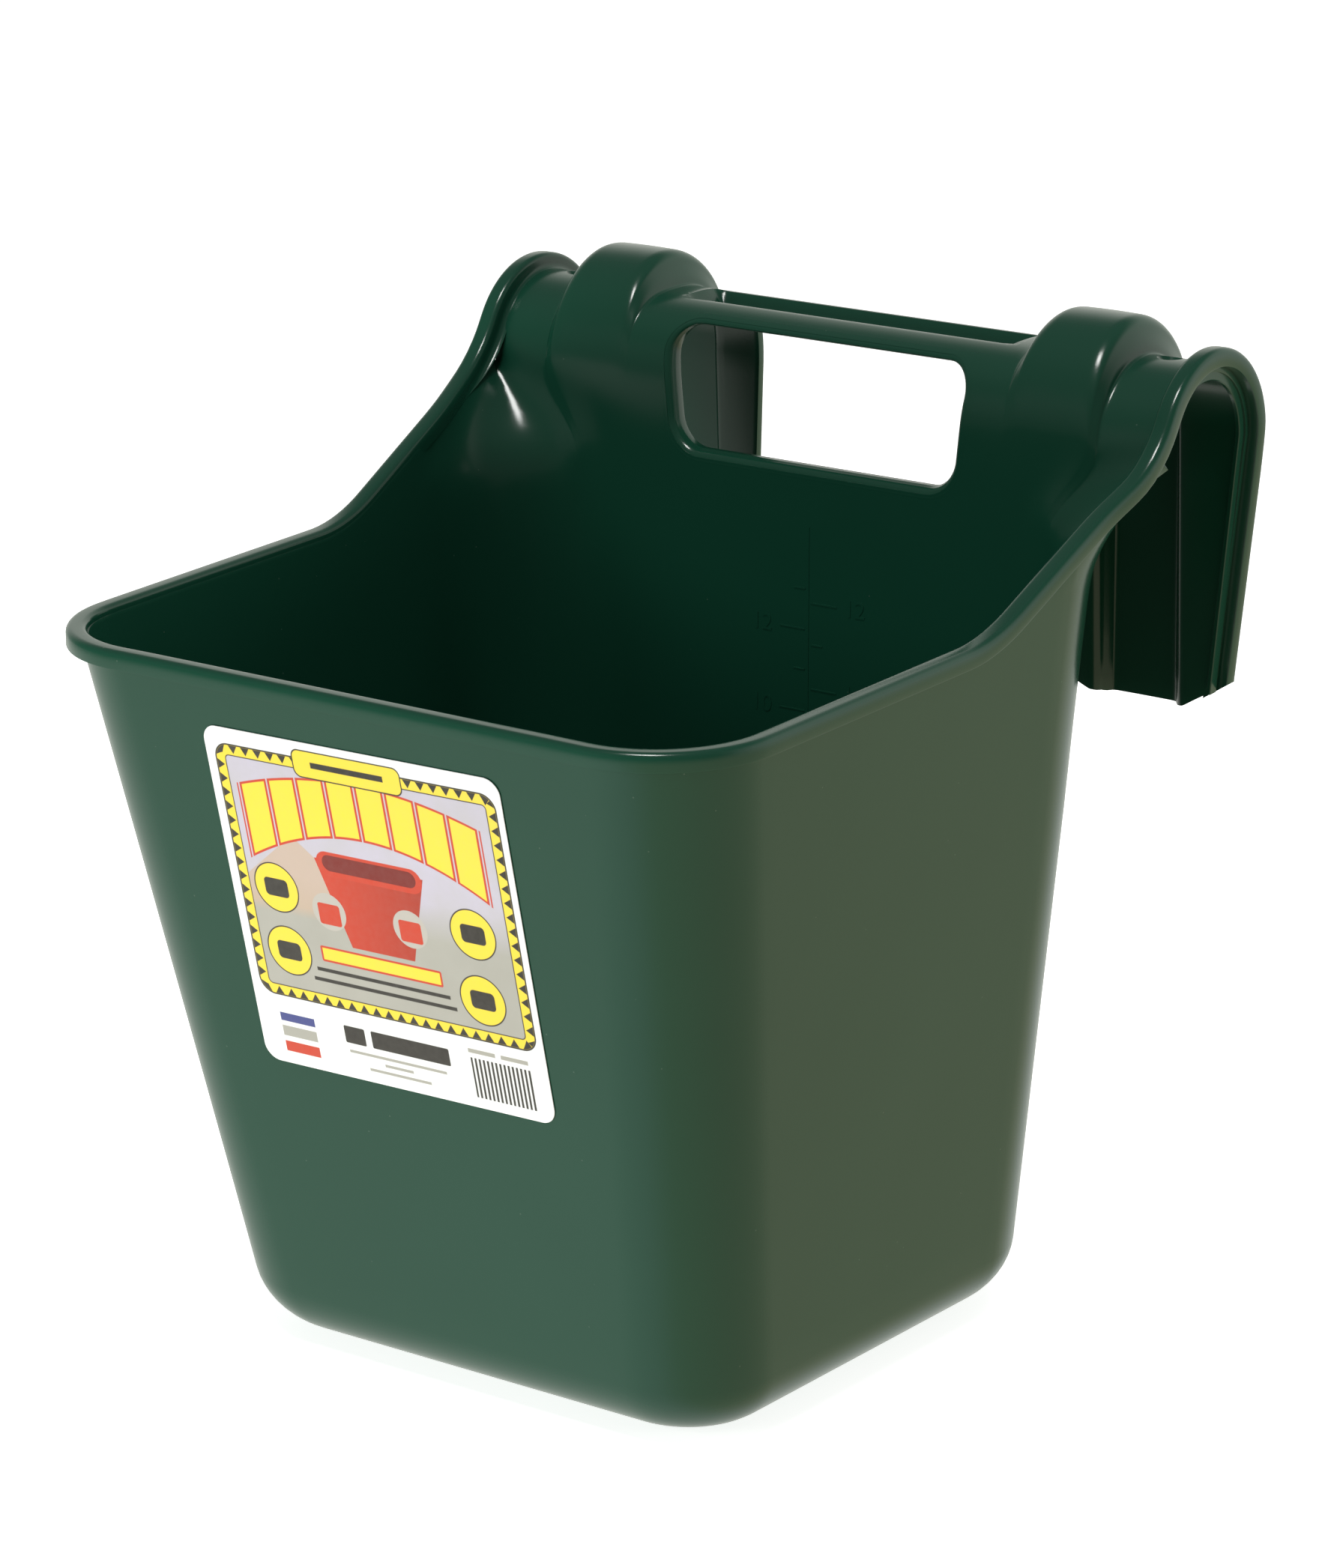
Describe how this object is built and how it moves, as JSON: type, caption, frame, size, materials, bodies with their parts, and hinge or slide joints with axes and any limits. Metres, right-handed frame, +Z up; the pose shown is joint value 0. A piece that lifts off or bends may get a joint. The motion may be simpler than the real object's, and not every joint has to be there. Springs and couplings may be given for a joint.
{
  "type": "feed bucket",
  "caption": "Open plastic feed bucket with a tall back whose two wide hooks hang it over a fence board; a carrying grip between the hooks and a printed label on the front.",
  "frame": {"origin": "middle of the bounding box in X and Y, on the plane the base stands on", "axes": "+X from the left hook to the right hook, -Y to the front of the tub, +Y to the fence, +Z up"},
  "size_m": [0.296, 0.3396, 0.347],
  "materials": {
    "green_plastic": "dark green injection-moulded polyethylene, smooth and fairly glossy",
    "printed_label": "printed self-adhesive sheet, satin"
  },
  "bodies": {
    "root": {"feeder_moulding": "green_plastic", "front_label": "printed_label"}
  },
  "joints": []
}
